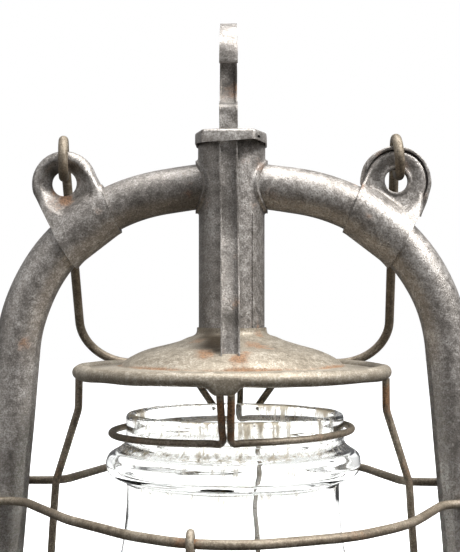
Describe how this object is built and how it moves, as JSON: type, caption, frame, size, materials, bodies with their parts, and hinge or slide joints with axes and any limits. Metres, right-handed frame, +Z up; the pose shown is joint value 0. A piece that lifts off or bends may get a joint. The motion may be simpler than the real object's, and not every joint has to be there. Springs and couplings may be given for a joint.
{
  "type": "hanging lantern",
  "caption": "Hot-blast tubular lantern with air tubes, a lifting hood and glass globe, guard wires, a swinging bail and a flat-wick burner over a fount.",
  "frame": {"origin": "centre of the base ring's underside", "axes": "+Z up along the chimney, -Y to the front where the lift strap is, +X to the right-hand air tube"},
  "size_m": [0.1866, 0.1648, 0.3011],
  "materials": {
    "tinned_steel": "mottled aged tin plate with rust at its joints",
    "hood_steel": "mottled beige-grey aged plate with rust along its crease",
    "rusted_wire": "dark brown drawn wire with light rust",
    "aged_brass": "dull, darkened brass",
    "wick_cotton": "woven cotton, charred at its top",
    "gasket_cork": "pressed cork",
    "globe_glass": "clear blown glass with a dirty rim"
  },
  "bodies": {
    "frame": {"base_ring": "tinned_steel", "fount": "tinned_steel", "filler_neck": "aged_brass", "burner_collar": "aged_brass", "burner_body": "aged_brass", "burner_cone": "aged_brass", "wick_tube": "aged_brass", "air_chamber": "tinned_steel", "right_air_tube": "tinned_steel", "left_air_tube": "tinned_steel", "chimney_tube": "tinned_steel", "top_cap": "tinned_steel", "right_bail_ear": "tinned_steel", "left_bail_ear": "tinned_steel", "front_guard_wire": "rusted_wire", "back_guard_wire": "rusted_wire", "front_upright_wire": "rusted_wire", "back_upright_wire": "rusted_wire"},
    "hood": {"hood_plate": "hood_steel", "lift_strap": "tinned_steel", "right_neck_wire": "rusted_wire", "left_neck_wire": "rusted_wire", "right_back_strut": "rusted_wire", "left_back_strut": "rusted_wire", "right_lift_wire": "rusted_wire", "left_lift_wire": "rusted_wire", "globe_plate": "tinned_steel", "globe": "globe_glass"},
    "bail": {"bail": "rusted_wire"},
    "wick_knob": {"wick_shaft": "rusted_wire", "front_spur_wheel": "aged_brass", "back_spur_wheel": "aged_brass", "thumb_wheel": "aged_brass"},
    "wick": {"wick": "wick_cotton"},
    "filler_gasket": {"filler_gasket": "gasket_cork"},
    "filler_cap": {"filler_cap": "aged_brass"}
  },
  "joints": [
    {"name": "hood_lift", "type": "slide", "parent": "frame", "child": "hood", "axis": [0, 0, 1], "range_m": [0, 0.025]},
    {"name": "bail_swing", "type": "hinge", "parent": "frame", "child": "bail", "pos_m": [0, 0, 0.2536], "axis": [1, 0, 0], "range_deg": [0, 265]},
    {"name": "wick_turn", "type": "hinge", "parent": "frame", "child": "wick_knob", "pos_m": [-0.0044, 0, 0.048], "axis": [0, -1, 0], "range_deg": [-45, 126]},
    {"name": "wick_rise", "type": "slide", "parent": "frame", "child": "wick", "axis": [0, 0, 1], "range_m": [-0.003, 0.008]},
    {"name": "cap_lift", "type": "slide", "parent": "frame", "child": "filler_gasket", "axis": [0, 0, 1], "range_m": [0, 0.005]},
    {"name": "cap_turn", "type": "hinge", "parent": "filler_gasket", "child": "filler_cap", "pos_m": [0.03291, -0.03922, 0.038], "axis": [0, 0, 1], "range_deg": [0, 900]}
  ],
  "couplings": [
    {"joint": "wick_rise", "follows": "wick_turn", "m_per_rad": 0.0036},
    {"joint": "cap_lift", "follows": "cap_turn", "m_per_rad": 0.000318}
  ]
}
